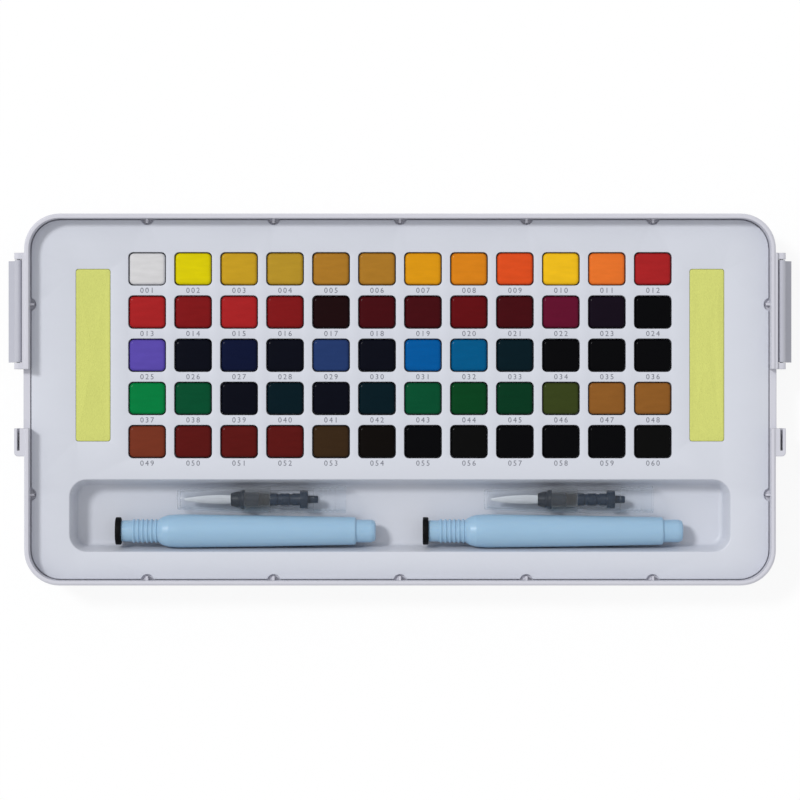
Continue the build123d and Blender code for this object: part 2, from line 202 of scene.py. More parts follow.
PAINT_ROWS = (
    ("chinese white", "lemon", "yellow ochre", "raw ochre", "bronze ochre", "bronze ochre",
     "warm yellow", "amber", "red orange", "gold yellow", "light orange", "scarlet"),
    ("scarlet", "crimson", "scarlet", "crimson", "maroon", "wine",
     "wine", "cherry", "wine", "magenta", "dark violet", "ivory black"),
    ("violet", "night blue", "navy", "night blue", "cobalt", "night blue",
     "cerulean", "turquoise", "teal", "ivory black", "ivory black", "ivory black"),
    ("emerald", "viridian", "night blue", "teal", "night blue", "teal",
     "viridian", "leaf green", "moss green", "olive", "light brown", "light brown"),
    ("burnt orange", "brick", "brick", "brick", "umber", "sepia",
     "ivory black", "charcoal", "ivory black", "ivory black", "ivory black", "charcoal"),
)


def linear(rgb):
    """A colour written in 0 to 255 steps, as the shader reads it."""
    out = []
    for value in rgb:
        c = value / 255
        out.append(c / 12.92 if c <= 0.04045 else ((c + 0.055) / 1.055) ** 2.4)
    return tuple(out) + (1.0,)


def colour(name, description, rgb):
    """A colour that a user may change."""
    return FloatVectorProperty(name=name, description=description, subtype="COLOR", size=4,
                               min=0.0, max=1.0, default=linear(rgb))


def length(name, description, millimetres):
    """A length that a user may change."""
    return FloatProperty(name=name, description=description, unit="LENGTH",
                         default=millimetres * MM)


class PaintSetColours(bpy.types.PropertyGroup):
    """The colours of the set's plastics, sponge and print."""

    case: colour("Case", "Pale plastic of the case", (203, 203, 212))
    # The latches are the case's own plastic. This colour is darker than the case's as painted shade,
    # for latch plates that hang in shade beside the wall.
    latch: colour("Latch", "Pale plastic of the two latches", (182, 183, 193))
    tray: colour("Tray", "Pale plastic of the tray", (205, 208, 217))
    sponge: colour("Sponge", "Fine yellow-green sponge", (209, 213, 118))
    barrel: colour("Barrel", "Milky light blue plastic of the brush barrels", (150, 184, 210))
    plug: colour("Plug", "Black plastic of the plugs", (5, 5, 7))
    ferrule: colour("Ferrule", "Blue-black plastic of the ferrules", (8, 22, 36))
    feed: colour("Feed", "Smoky plastic of the inner valves", (22, 38, 56))
    clear: colour("Clear", "Tint of the clear caps and grips", (226, 231, 238))
    bristle: colour("Bristle", "White nylon of the tufts", (222, 226, 231))
    steel: colour("Steel", "Drawn steel of the hinge pins", (160, 162, 166))
    print_grey: colour("Print", "Grey print of the numbers", (112, 114, 126))
    floor: colour("Floor", "White table that the set lies on", (250, 250, 250))


class PaintSetSizes(bpy.types.PropertyGroup):
    """The sizes that the finish adds to the frame."""

    socket_length: length("Socket length", "Opening of one socket along the row", 15.6)
    socket_width: length("Socket width", "Opening of one socket across the row", 13.8)
    socket_corner: length("Socket corner", "Corner radius of one socket", 2.0)
    socket_depth: length("Socket depth", "Depth of one socket", 8.0)
    pitch_x: length("Column pitch", "Distance from one cake to the next along a row", 19.0)
    pitch_y: length("Row pitch", "Distance from one row to the next", 17.85)
    grid_y: length("Grid middle", "Middle of the paints in the width", 18.3)
    cake_round: length("Cake rounding", "Rounding of a cake's top edge", 1.2)
    cake_dome: length("Cake dome", "Rise of a cake's middle over its edge", 0.3)
    edge_round: length("Edge rounding", "Rounding of the tray's moulded edges", 0.35)
    number_height: length("Number height", "Height of the printed numbers", 2.2)
    number_drop: length("Number drop", "Middle of a number below its socket", 2.1)
    notch_radius: length("Notch radius", "Radius of a notch in the tray's edge", 2.7)
    notch_depth: length("Notch depth", "Depth of a notch in the tray's edge", 2.0)
    notch_pitch: length("Notch pitch", "Distance between notches on a long edge", 52.2)
    notch_side: length("Side notch place", "Distance of a side notch from the middle", 39.3)
    tray_corner: length("Tray corner", "Corner radius of the tray", 12.25)
    tray_thick: length("Tray thickness", "Thickness of the tray's plate", 1.6)
    trough_length: length("Trough length", "Mouth of the trough along the case", 272.9)
    trough_width: length("Trough width", "Mouth of the trough across the case", 29.6)
    trough_corner: length("Trough corner", "Corner radius of the trough's mouth", 7.0)
    trough_y: length("Trough middle", "Middle of the trough in the width", -48.0)
    trough_depth: length("Trough depth", "Depth of the trough", 12.0)
    trough_slope: length("Trough slope", "Run of the trough's sloping wall", 2.3)
    strands: IntProperty(name="Strands", description="Bristles in one tuft", default=260, min=60)


def linked(name, data):
    """An object with this data, in the scene."""
    thing = bpy.data.objects.new(name, data)
    bpy.context.scene.collection.objects.link(thing)
    return thing


class Mould:
    """A mesh being built from rings of points and the skins between them, in metres."""

    def __init__(self):
        self.mesh = bmesh.new()

    def ring(self, points):
        return [self.mesh.verts.new(point) for point in points]

    def skin(self, first, second):
        """Faces between two rings of as many points."""
        count = len(first)
        for i in range(count):
            j = (i + 1) % count
            self.mesh.faces.new((first[i], first[j], second[j], second[i]))

    def rings(self, levels):
        """Rings at the given levels, joined by skins."""
        rings = [self.ring(points) for points in levels]
        for first, second in zip(rings, rings[1:]):
            self.skin(first, second)
        return rings

    def lid(self, ring):
        self.mesh.faces.new(ring)

    def finish(self, name, material, sharp):
        """The piece, smooth except at edges sharper than an angle in degrees."""
        bmesh.ops.recalc_face_normals(self.mesh, faces=self.mesh.faces)
        data = bpy.data.meshes.new(name)
        self.mesh.to_mesh(data)
        self.mesh.free()
        data.materials.append(material)
        data.shade_smooth()
        data.set_sharp_from_angle(angle=radians(sharp))
        return linked(name, data)


def quarter(steps, first=1):
    """Angles of a quarter turn in equal steps."""
    return [step / steps * pi / 2 for step in range(first, steps + 1)]


def rounded_outline(long, wide, corner, steps=6):
    """Points round a rectangle with rounded corners, anticlockwise."""
    corner = max(corner, LEAST_CORNER)
    points = []
    for turn, (sx, sy) in enumerate(((1, 1), (-1, 1), (-1, -1), (1, -1))):
        cx, cy = sx * (long / 2 - corner), sy * (wide / 2 - corner)
        for step in range(steps + 1):
            angle = (turn + step / steps) * pi / 2
            points.append((cx + corner * cos(angle), cy + corner * sin(angle)))
    return points


def lifted(points, z, centre=(0.0, 0.0)):
    """Flat points at a height, moved to a centre."""
    return [(centre[0] + x, centre[1] + y, z) for x, y in points]


def edge_levels(shape, top, rounding):
    """Outlines and heights down a rounded edge. shape(offset) draws the outline out or in."""
    return [(shape(rounding * (1 - sin(angle))), top - rounding * (1 - cos(angle)))
            for angle in quarter(EDGE_STEPS, 0)]


def thread(first, pitch, turns, ring):
    """Points of the rings of a moulded thread, one ring after another."""
    return tuple((first + turn * pitch + step, radius)
                 for turn in range(turns) for step, radius in ring)


def softened(points, rounding, steps):
    """A half section given in millimetres, in metres and with its corners rounded."""
    profile = [(s * MM, r * MM) for s, r in points]
    out = [profile[0]]
    for before, here, after in zip(profile, profile[1:], profile[2:]):
        a, b, c = Vector(before), Vector(here), Vector(after)
        reach = min(rounding * MM, (a - b).length * SOFT_SHARE, (c - b).length * SOFT_SHARE)
        if reach < LEAST_REACH:
            out.append(here)
            continue
        start, end = b + (a - b).normalized() * reach, b + (c - b).normalized() * reach
        for step in range(steps + 1):
            t = step / steps
            spot = start * (1 - t) ** 2 + b * 2 * t * (1 - t) + end * t ** 2
            out.append((spot.x, spot.y))
    out.append(profile[-1])
    return out


def turned(name, profile, origin, material, sides, flutes=0, flute=0.0, bore=0):
    """A round piece along +X from (distance, radius) points.

    Flutes run along it, but not in its bore, which takes the first points of the profile.
    """
    mould = Mould()
    previous = None
    for index, (s, r) in enumerate(profile):
        x = origin[0] + s
        if r < ON_AXIS:
            current = mould.ring([(x, origin[1], origin[2])])
        else:
            depth = flute if index >= bore else 0.0
            points = []
            for i in range(sides):
                angle = 2 * pi * (i + 0.5) / sides
                reach = r - depth * (0.5 + 0.5 * cos(flutes * angle))
                points.append((x, origin[1] + reach * cos(angle), origin[2] + reach * sin(angle)))
            current = mould.ring(points)
        if previous is not None:
            if len(previous) > 1 and len(current) > 1:
                mould.skin(previous, current)
            elif len(previous) != len(current):
                tip, circle = sorted((previous, current), key=len)
                for i in range(sides):
                    mould.mesh.faces.new((tip[0], circle[i], circle[(i + 1) % sides]))
        previous = current
    return mould.finish(name, material, TURNED_SHARP)


def fluted(name, bore, outside, origin, material, flutes, flute):
    """A clear round piece with flutes along its outside."""
    inner = softened(bore, rounding=0.2, steps=2)
    profile = inner + softened(outside, rounding=0.2, steps=2)
    return turned(name, profile, origin, material, FLUTED_SIDES, flutes, flute, len(inner))


class Nodes:
    """A material's node tree, with short calls for the nodes used here."""

    def __init__(self, name):
        self.material = bpy.data.materials.new(name)
        self.material.use_nodes = True
        self.tree = self.material.node_tree
        self.shader = self.tree.nodes["Principled BSDF"]
        self.surface = self.tree.nodes["Material Output"].inputs["Surface"]
        self.place = self.add("ShaderNodeTexCoord").outputs["Object"]

    def add(self, kind, **values):
        node = self.tree.nodes.new(kind)
        for key, value in values.items():
            setattr(node, key, value)
        return node

    def link(self, source, target):
        self.tree.links.new(source, target)

    def drive(self, name, source):
        """Drives one input of the main shader."""
        self.link(source, self.shader.inputs[name])

    def noise(self, scale, detail=3.0, stretch=(1, 1, 1)):
        mapping = self.add("ShaderNodeMapping")
        mapping.inputs["Scale"].default_value = stretch
        self.link(self.place, mapping.inputs["Vector"])
        node = self.add("ShaderNodeTexNoise")
        node.inputs["Scale"].default_value = scale
        node.inputs["Detail"].default_value = detail
        self.link(mapping.outputs["Vector"], node.inputs["Vector"])
        return node.outputs["Fac"]

    def ramp(self, source, low, high, start=0.0, end=1.0):
        """A value between low and high, as the source goes from start to end."""
        node = self.add("ShaderNodeMapRange")
        node.inputs["From Min"].default_value = start
        node.inputs["From Max"].default_value = end
        node.inputs["To Min"].default_value = low
        node.inputs["To Max"].default_value = high
        self.link(source, node.inputs["Value"])
        return node.outputs["Result"]

    def spread(self, noise, low, high):
        """A noise spread between low and high."""
        return self.ramp(noise, low, high, *NOISE_SPAN)

    def maths(self, operation, first, second):
        """A calculation with a value and another value or a number."""
        node = self.add("ShaderNodeMath", operation=operation)
        self.link(first, node.inputs[0])
        if isinstance(second, float):
            node.inputs[1].default_value = second
        else:
            self.link(second, node.inputs[1])
        return node.outputs["Value"]

    def blend(self, share, first, second):
        """Two finishes blended by a share of the second."""
        node = self.add("ShaderNodeMixShader")
        self.link(share, node.inputs["Fac"])
        self.link(first, node.inputs[1])
        self.link(second, node.inputs[2])
        return node.outputs["Shader"]

    def shaded(self, source, base, darker):
        """A colour that varies a little towards a darker one."""
        node = self.add("ShaderNodeMix", data_type="RGBA")
        node.inputs["A"].default_value = base
        node.inputs["B"].default_value = tuple(c * darker for c in base[:3]) + (1.0,)
        self.link(source, node.inputs["Factor"])
        return node.outputs["Result"]

    def grain(self, source, strength, distance, rounding=0.0):
        """A fine relief, with a rounding of the edges where one is given."""
        bump = self.add("ShaderNodeBump")
        bump.inputs["Strength"].default_value = strength
        bump.inputs["Distance"].default_value = distance
        self.link(source, bump.inputs["Height"])
        if rounding:
            bevel = self.add("ShaderNodeBevel", samples=6)
            bevel.inputs["Radius"].default_value = rounding
            self.link(bevel.outputs["Normal"], bump.inputs["Normal"])
        self.drive("Normal", bump.outputs["Normal"])


def moulded_plastic(name, base, roughness, rounding=0.0, milky=0.0, shine=0.4):
    """Satin moulded plastic with faint flow marks and a fine grain."""
    nodes = Nodes(name)
    nodes.shader.inputs["Specular IOR Level"].default_value = shine
    flow = nodes.noise(55.0, 2.0, (1.0, 2.4, 1.0))
    nodes.drive("Base Color", nodes.shaded(nodes.spread(flow, 0.0, 0.6), base, 0.98))
    nodes.drive("Roughness", nodes.spread(nodes.noise(240.0), roughness - 0.02, roughness + 0.02))
    nodes.grain(nodes.noise(2600.0, 2.0), 0.12, 0.04 * MM, rounding)
    if milky:
        nodes.shader.inputs["Subsurface Weight"].default_value = milky
        nodes.shader.inputs["Subsurface Radius"].default_value = (0.6, 0.8, 1.0)
        nodes.shader.inputs["Subsurface Scale"].default_value = 2.0 * MM
    return nodes.material


def clear_plastic(name, tint, haze):
    """Clear plastic with a slight haze, whiter and glossier where it is seen at a slant."""
    nodes = Nodes(name)
    nodes.shader.inputs["Base Color"].default_value = tint
    nodes.shader.inputs["Roughness"].default_value = 0.3
    nodes.grain(nodes.noise(700.0, 2.0, (0.15, 1.0, 1.0)), 0.15, 0.08 * MM)
    through = nodes.add("ShaderNodeBsdfTransparent")
    through.inputs["Color"].default_value = CLEAR_TINT
    facing = nodes.add("ShaderNodeLayerWeight")
    facing.inputs["Blend"].default_value = 0.5
    slant = nodes.maths("POWER", facing.outputs["Facing"], SLANT_POWER)
    hazed = nodes.blend(nodes.ramp(slant, haze, haze + SLANT_HAZE),
                        through.outputs["BSDF"], nodes.shader.outputs["BSDF"])
    gloss = nodes.add("ShaderNodeBsdfGlossy")
    nodes.link(nodes.spread(nodes.noise(300.0), 0.10, 0.18), gloss.inputs["Roughness"])
    shiny = nodes.blend(nodes.ramp(slant, *CLEAR_GLOSS), hazed, gloss.outputs["BSDF"])
    nodes.link(shiny, nodes.surface)
    return nodes.material


def pressed_paint():
    """Pressed paint: each cake's own colour with fine streaks, and a dull shine."""
    nodes = Nodes("pressed paint")
    own = nodes.add("ShaderNodeAttribute", attribute_name="paint")
    tone = nodes.add("ShaderNodeMix", data_type="RGBA", blend_type="MULTIPLY")
    tone.inputs["Factor"].default_value = 1.0
    nodes.link(own.outputs["Color"], tone.inputs["A"])
    shade = nodes.add("ShaderNodeCombineColor")
    streaks = nodes.spread(nodes.noise(520.0, 4.0, (0.22, 1.0, 1.0)), 0.94, 1.04)
    for channel in ("Red", "Green", "Blue"):
        nodes.link(streaks, shade.inputs[channel])
    nodes.link(shade.outputs["Color"], tone.inputs["B"])
    nodes.drive("Base Color", tone.outputs["Result"])
    nodes.drive("Roughness", nodes.spread(nodes.noise(420.0), 0.20, 0.30))
    nodes.shader.inputs["Specular IOR Level"].default_value = 0.03
    nodes.shader.inputs["Coat Weight"].default_value = 0.06
    nodes.shader.inputs["Coat Roughness"].default_value = 0.14
    nodes.grain(nodes.noise(700.0, 2.0, (0.5, 1.0, 1.0)), 0.12, 0.06 * MM)
    return nodes.material


def foam(base):
    """Fine open-cell sponge."""
    nodes = Nodes("wiping sponge")
    cells = nodes.add("ShaderNodeTexVoronoi")
    cells.inputs["Scale"].default_value = 2200.0
    nodes.link(nodes.place, cells.inputs["Vector"])
    tint = nodes.spread(nodes.noise(1400.0, 4.0), 0.0, 1.0)
    nodes.drive("Base Color", nodes.shaded(tint, base, 0.93))
    nodes.shader.inputs["Roughness"].default_value = 0.95
    nodes.shader.inputs["Specular IOR Level"].default_value = 0.15
    nodes.grain(cells.outputs["Distance"], 0.5, 0.3 * MM)
    return nodes.material


def drawn_steel(base):
    """Drawn steel wire."""
    nodes = Nodes("drawn steel")
    nodes.drive("Base Color", nodes.shaded(nodes.noise(900.0, 2.0, (1, 0.05, 1)), base, 0.8))
    nodes.shader.inputs["Metallic"].default_value = 1.0
    nodes.drive("Roughness", nodes.spread(nodes.noise(1200.0), 0.25, 0.4))
    return nodes.material


def grey_print(base):
    """Grey ink with a little less of it here and there."""
    nodes = Nodes("grey print")
    nodes.drive("Base Color", nodes.shaded(nodes.noise(2500.0), base, 0.85))
    nodes.shader.inputs["Roughness"].default_value = 0.6
    return nodes.material


def white_nylon(base):
    """Nylon strands."""
    nodes = Nodes("white nylon")
    nodes.drive("Base Color", nodes.shaded(nodes.noise(1500.0, 2.0, (0.1, 1, 1)), base, 0.8))
    nodes.shader.inputs["Roughness"].default_value = 0.4
    return nodes.material


def white_table(base):
    """A matt table that glows white where it is seen directly, in a shine or through plastic."""
    nodes = Nodes("white table")
    nodes.drive("Base Color", nodes.shaded(nodes.noise(6.0), base, 0.99))
    nodes.shader.inputs["Roughness"].default_value = 0.8
    glow = nodes.add("ShaderNodeEmission")
    rays = nodes.add("ShaderNodeLightPath").outputs
    seen = nodes.maths("MAXIMUM", rays["Is Camera Ray"], rays["Is Glossy Ray"])
    seen = nodes.maths("MAXIMUM", seen, rays["Is Transmission Ray"])
    share = nodes.maths("MULTIPLY", seen, TABLE_GLOW)
    mix = nodes.blend(share, nodes.shader.outputs["BSDF"], glow.outputs["Emission"])
    nodes.link(mix, nodes.surface)
    return nodes.material


def dress(node, material):
    """Gives a CAD node a finish."""
    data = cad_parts[node].data
    data.materials.clear()
    data.materials.append(material)


def place(piece, body, slot, *nodes):
    """Rides a piece on its body, in place of the nodes it stands for. The slot is not used."""
    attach(piece, body)
    if nodes:
        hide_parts(*nodes)


def left_end(node):
    """Middle of the left end of a CAD node."""
    low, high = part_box(node)
    return (low[0], (low[1] + high[1]) / 2, (low[2] + high[2]) / 2)


def flat_middle(low, high):
    """Middle of a box, seen from above."""
    return ((low[0] + high[0]) / 2, (low[1] + high[1]) / 2)


def cake_places(sizes, row):
    """Centres of one row of cakes from left to right."""
    y = sizes.grid_y + ((ROWS - 1) / 2 - row) * sizes.pitch_y
    return [((column - (COLUMNS - 1) / 2) * sizes.pitch_x, y) for column in range(COLUMNS)]


def tray_edge(sizes, inset):
    """The tray's outline with its snap notches, drawn in by an inset, anticlockwise."""
    low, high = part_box("paint_tray")
    half_x, half_y = (high[0] - low[0]) / 2 - inset, (high[1] - low[1]) / 2 - inset
    corner = sizes.tray_corner - inset
    radius = sizes.notch_radius + inset
    outside = sizes.notch_radius - sizes.notch_depth + inset
    half_chord = sqrt(radius ** 2 - outside ** 2)
    long_stops = [(i - 2) * sizes.notch_pitch for i in range(5)]
    side_stops = [-sizes.notch_side, sizes.notch_side]

    def notched(stops, sign, across):
        points = []
        for stop in (stops if sign > 0 else reversed(stops)):
            for step in range(CURVE_STEPS + 1):
                along = half_chord * (2 * step / CURVE_STEPS - 1)
                dip = sqrt(radius ** 2 - along ** 2) - outside
                points.append((stop + sign * along, across - dip))
        return points

    def bend(cx, cy, turn):
        angles = [(turn + step / CURVE_STEPS) * pi / 2 for step in range(CURVE_STEPS + 1)]
        return [(cx + corner * cos(angle), cy + corner * sin(angle)) for angle in angles]

    points = [(across, along) for along, across in notched(side_stops, 1, half_x)]
    points += bend(half_x - corner, half_y - corner, 0)
    points += notched(long_stops, -1, half_y)
    points += bend(corner - half_x, half_y - corner, 1)
    points += [(-across, along) for along, across in notched(side_stops, -1, half_x)]
    points += bend(corner - half_x, corner - half_y, 2)
    points += [(along, -across) for along, across in notched(long_stops, 1, half_y)]
    points += bend(half_x - corner, corner - half_y, 3)
    return points


class PAINTSET_OT_stage(bpy.types.Operator):
    """Set up the white table, the lamps and the camera over the set"""

    bl_idname = "paint_set.stage"
    bl_label = "Stage"

    def execute(self, context):
        table = bpy.data.meshes.new("table")
        corners = [(x * TABLE_REACH, y * TABLE_REACH, TABLE_TOP)
                   for x, y in ((-1, -1), (1, -1), (1, 1), (-1, 1))]
        table.from_pydata(corners, [], [(0, 1, 2, 3)])
        table.materials.append(white_table(context.scene.paint_set_colours.floor))
        floor = linked("table", table)
        self.lamp()
        self.room(context.scene)
        self.camera(context.scene)
        context.scene.view_settings.view_transform = "Standard"
        return {"FINISHED"}

    def lamp(self):
        lamp = bpy.data.lights.new("window lamp", "SUN")
        lamp.energy = SUN_STRENGTH
        lamp.angle = radians(SUN_DEGREES)
        sun = linked("window lamp", lamp)
        sun.rotation_euler = Vector(SUN_AIM).to_track_quat("-Z", "Y").to_euler()

    def room(self, scene):
        """A bright room, plain white where it is seen directly."""
        world = bpy.data.worlds.new("white room")
        world.use_nodes = True
        tree = world.node_tree
        room = tree.nodes["Background"]
        room.inputs["Color"].default_value = ROOM_TINT
        room.inputs["Strength"].default_value = ROOM_STRENGTH
        seen = tree.nodes.new("ShaderNodeBackground")
        rays = tree.nodes.new("ShaderNodeLightPath")
        mix = tree.nodes.new("ShaderNodeMixShader")
        tree.links.new(rays.outputs["Is Camera Ray"], mix.inputs["Fac"])
        tree.links.new(room.outputs["Background"], mix.inputs[1])
        tree.links.new(seen.outputs["Background"], mix.inputs[2])
        tree.links.new(mix.outputs["Shader"], tree.nodes["World Output"].inputs["Surface"])
        scene.world = world

    def camera(self, scene):
        data = bpy.data.cameras.new("camera")
        data.sensor_width = CAMERA_SENSOR
        data.lens = CAMERA_LENS
        data.clip_end = CAMERA_FAR
        camera = linked("camera", data)
        camera.location = CAMERA_PLACE
        scene.camera = camera


class PAINTSET_OT_case(bpy.types.Operator):
    """Finish the case, its latches and their steel pins"""

    bl_idname = "paint_set.case"
    bl_label = "Case and latches"

    def execute(self, context):
        colours = context.scene.paint_set_colours
        case_finish = moulded_plastic("case plastic", colours.case, 0.42, rounding=0.6 * MM)
        # Case plastic in a darker colour on the latches: painted shade, not a different plastic.
        shaded_latch_finish = moulded_plastic("shaded latch plastic", colours.latch, 0.40, rounding=0.35 * MM)
        steel = drawn_steel(colours.steel)
        dress("base_case", case_finish)
        for side in SIDES:
            dress(f"latch_{side}", shaded_latch_finish)
            dress(f"latch_pin_{side}", steel)
        return {"FINISHED"}


class PAINTSET_OT_tray(bpy.types.Operator):
    """Mould the tray with its sockets, wells, notches and trough"""

    bl_idname = "paint_set.tray"
    bl_label = "Tray"

    def execute(self, context):
        sizes = context.scene.paint_set_sizes
        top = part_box("paint_tray")[1][2]
        mould = Mould()
        rims = [self.plate_edge(mould, sizes, top)]
        for row in range(ROWS):
            rims += [self.socket(mould, sizes, top, centre) for centre in cake_places(sizes, row)]
        rims += [self.well(mould, sizes, top, side) for side in SIDES]
        rims.append(self.trough(mould, sizes, top))
        edges = []
        for rim in rims:
            edges += [mould.mesh.edges.get(pair) for pair in zip(rim, rim[1:] + rim[:1])]
        bmesh.ops.triangle_fill(mould.mesh, edges=edges, use_beauty=True, use_dissolve=False)
        plastic = moulded_plastic("tray plastic", context.scene.paint_set_colours.tray, 0.38)
        place(mould.finish("tray_moulding", plastic, sharp=50), "case", "tray_plastic", "paint_tray")
        return {"FINISHED"}

    def plate_edge(self, mould, sizes, top):
        """The plate's rounded edge. Returns the ring that bounds its top."""
        levels = edge_levels(lambda inset: tray_edge(sizes, inset), top, sizes.edge_round)
        points = [lifted(outline, z) for outline, z in levels]
        points.append(lifted(tray_edge(sizes, 0.0), top - sizes.tray_thick))
        return mould.rings(points)[0]

    def hole(self, mould, shape, top, rounding, centre, rest):
        """A hole: rounded mouth, then the given levels below it. Returns its ring in the top."""
        levels = edge_levels(shape, top, rounding) + rest
        rings = mould.rings([lifted(outline, z, centre) for outline, z in levels])
        mould.lid(rings[-1])
        return rings[0]

    def socket(self, mould, sizes, top, centre):
        def shape(out):
            return rounded_outline(sizes.socket_length + 2 * out, sizes.socket_width + 2 * out,
                                   sizes.socket_corner + out)

        floor = top - sizes.socket_depth
        rest = [(shape(0.0), floor + SOCKET_FOOT), (shape(-SOCKET_FOOT), floor)]
        return self.hole(mould, shape, top, sizes.edge_round * HOLE_ROUND, centre, rest)

    def well(self, mould, sizes, top, side):
        low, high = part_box(f"sponge_{side}")

        def shape(out):
            return rounded_outline(high[0] - low[0] + 2 * (WELL_GAP + out),
                                   high[1] - low[1] + 2 * (WELL_GAP + out), WELL_CORNER + out)

        rest = [(shape(0.0), low[2] - WELL_GAP)]
        middle = flat_middle(low, high)
        return self.hole(mould, shape, top, sizes.edge_round * HOLE_ROUND, middle, rest)

    def trough(self, mould, sizes, top):
        def shape(out):
            return rounded_outline(sizes.trough_length + 2 * out, sizes.trough_width + 2 * out,
                                   sizes.trough_corner + out, steps=8)

        depth, run = sizes.trough_depth, sizes.trough_slope
        rest = []
        for step in range(1, SLOPE_STEPS + 1):
            drop = (depth - TROUGH_FOOT) * (step / SLOPE_STEPS)
            rest.append((shape(-run * drop / depth), top - drop))
        start = -run * (depth - TROUGH_FOOT) / depth
        for angle in quarter(5):
            rest.append((shape(start - TROUGH_FOOT * (1 - cos(angle))),
                         top - depth + TROUGH_FOOT * (1 - sin(angle))))
        middle = (0.0, sizes.trough_y)
        return self.hole(mould, shape, top, sizes.edge_round * TROUGH_ROUND, middle, rest)


class PAINTSET_OT_paints(bpy.types.Operator):
    """Press the sixty cakes, row by row, each in its own colour"""

    bl_idname = "paint_set.paints"
    bl_label = "Paint cakes"

    def execute(self, context):
        sizes = context.scene.paint_set_sizes
        finish = pressed_paint()
        chance = Random(11)
        for row, names in enumerate(PAINT_ROWS):
            node = f"paint_row_{row + 1}"
            low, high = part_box(node)
            mould = Mould()
            layer = mould.mesh.verts.layers.float_color.new("paint")
            for centre, name in zip(cake_places(sizes, row), names):
                known = len(mould.mesh.verts)
                self.cake(mould, sizes, centre, low[2], high[2], chance)
                mould.mesh.verts.ensure_lookup_table()
                for vert in mould.mesh.verts[known:]:
                    vert[layer] = linear(PIGMENTS[name])
            piece = mould.finish(f"cakes_{row + 1}", finish, sharp=60)
            place(piece, "case", "paint", node)
        return {"FINISHED"}

    def cake(self, mould, sizes, centre, bottom, top, chance):
        """One cake: straight sides, a rounded edge and a top that rises and leans a little."""
        long, wide = sizes.socket_length - 2 * CAKE_GAP, sizes.socket_width - 2 * CAKE_GAP
        corner = sizes.socket_corner - CAKE_CORNER_LESS
        edge, dome = sizes.cake_round, sizes.cake_dome
        shoulder = top - dome - edge
        levels = [(0.0, bottom), (0.0, shoulder)]
        for angle in quarter(5):
            levels.append((edge * (1 - cos(angle)), shoulder + edge * sin(angle)))
        lean_x, lean_y = (chance.uniform(-CAKE_LEAN, CAKE_LEAN) * MM for _ in range(2))
        rings = []
        for inset, z in levels:
            outline = rounded_outline(long - 2 * inset, wide - 2 * inset,
                                      corner - inset * CORNER_SHARE)
            rings.append(lifted(outline, z, centre))
        for share in (0.82, 0.6, 0.38, 0.16):
            rise = dome * (1 - share ** 2)
            outline = rounded_outline((long - 2 * edge) * share, (wide - 2 * edge) * share,
                                      (corner - edge * CORNER_SHARE) * share)
            rings.append([(centre[0] + x, centre[1] + y,
                           min(top, shoulder + edge + rise + lean_x * x / long + lean_y * y / wide))
                          for x, y in outline])
        made = mould.rings(rings)
        mould.lid(made[-1])
        mould.lid(made[0])


class PAINTSET_OT_numbers(bpy.types.Operator):
    """Print a plain running number under every paint"""

    bl_idname = "paint_set.numbers"
    bl_label = "Numbers"

    def execute(self, context):
        sizes = context.scene.paint_set_sizes
        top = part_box("paint_tray")[1][2] + PRINT_RISE
        joined = bmesh.new()
        serial = 0
        for row in range(ROWS):
            for x, y in cake_places(sizes, row):
                serial += 1
                below = y - sizes.socket_width / 2 - sizes.number_drop
                self.number(joined, f"{serial:03d}", sizes.number_height, (x, below, top))
        data = bpy.data.meshes.new("numbers")
        joined.to_mesh(data)
        joined.free()
        data.materials.append(grey_print(context.scene.paint_set_colours.print_grey))
        place(linked("numbers", data), "case", "tray_plastic")
        return {"FINISHED"}

    def number(self, joined, text, height, middle):
        """Adds the flat face of one number to the joined mesh."""
        curve = bpy.data.curves.new("number", "FONT")
        curve.body = text
        curve.size = height * FONT_TO_HEIGHT
        curve.space_character = FONT_SPACING
        curve.resolution_u = 3
        curve.align_x = "CENTER"
        curve.align_y = "CENTER"
        holder = linked("number", curve)
        bpy.context.view_layer.update()
        data = bpy.data.meshes.new_from_object(holder)
        for vert in data.vertices:
            vert.co = (vert.co.x + middle[0], vert.co.y + middle[1], middle[2])
        joined.from_mesh(data)
        bpy.data.objects.remove(holder)
        bpy.data.curves.remove(curve)
        bpy.data.meshes.remove(data)


class PAINTSET_OT_sponges(bpy.types.Operator):
    """Cut the two wiping sponges, soft at the edges and open-celled"""

    bl_idname = "paint_set.sponges"
    bl_label = "Sponges"

    def execute(self, context):
        finish = foam(context.scene.paint_set_colours.sponge)
        for number, side in enumerate(SIDES):
            low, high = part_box(f"sponge_{side}")
            long = high[0] - low[0] + 2 * SPONGE_PRESS
            wide = high[1] - low[1] + 2 * SPONGE_PRESS
            centre = flat_middle(low, high)
            stations = [(SPONGE_EDGE, SPONGE_FOOT_CORNER, low[2]),
                        (0.0, SPONGE_CORNER, low[2] + SPONGE_EDGE),
                        (0.0, SPONGE_CORNER, high[2] - SPONGE_EDGE)]
            for angle in quarter(3):
                inset = SPONGE_EDGE * (1 - cos(angle))
                stations.append((inset, SPONGE_CORNER - inset / 2,
                                 high[2] - SPONGE_EDGE * (1 - sin(angle))))
            mould = Mould()
            rings = mould.rings([
                lifted(rounded_outline(long - 2 * inset, wide - 2 * inset, corner), z, centre)
                for inset, corner, z in stations])
            mould.lid(rings[0])
            self.top_skin(mould, rings[-1], centre, number)
            piece = mould.finish(f"sponge_pad_{side}", finish, sharp=50)
            place(piece, f"sponge_{side}", "sponge", f"sponge_{side}")
        return {"FINISHED"}

    def top_skin(self, mould, ring, centre, seed):
        """A top that dips and rises a little between its edges."""
        chance = Random(seed + 3)
        previous = ring
        for share in (0.9, 0.75, 0.5, 0.2):
            points = []
            for vert in ring:
                x = centre[0] + (vert.co.x - centre[0]) * share
                y = centre[1] + (vert.co.y - centre[1]) * share
                points.append((x, y, vert.co.z - chance.uniform(0.0, SPONGE_DIP) * MM))
            current = mould.ring(points)
            mould.skin(previous, current)
            previous = current
        mould.lid(previous)


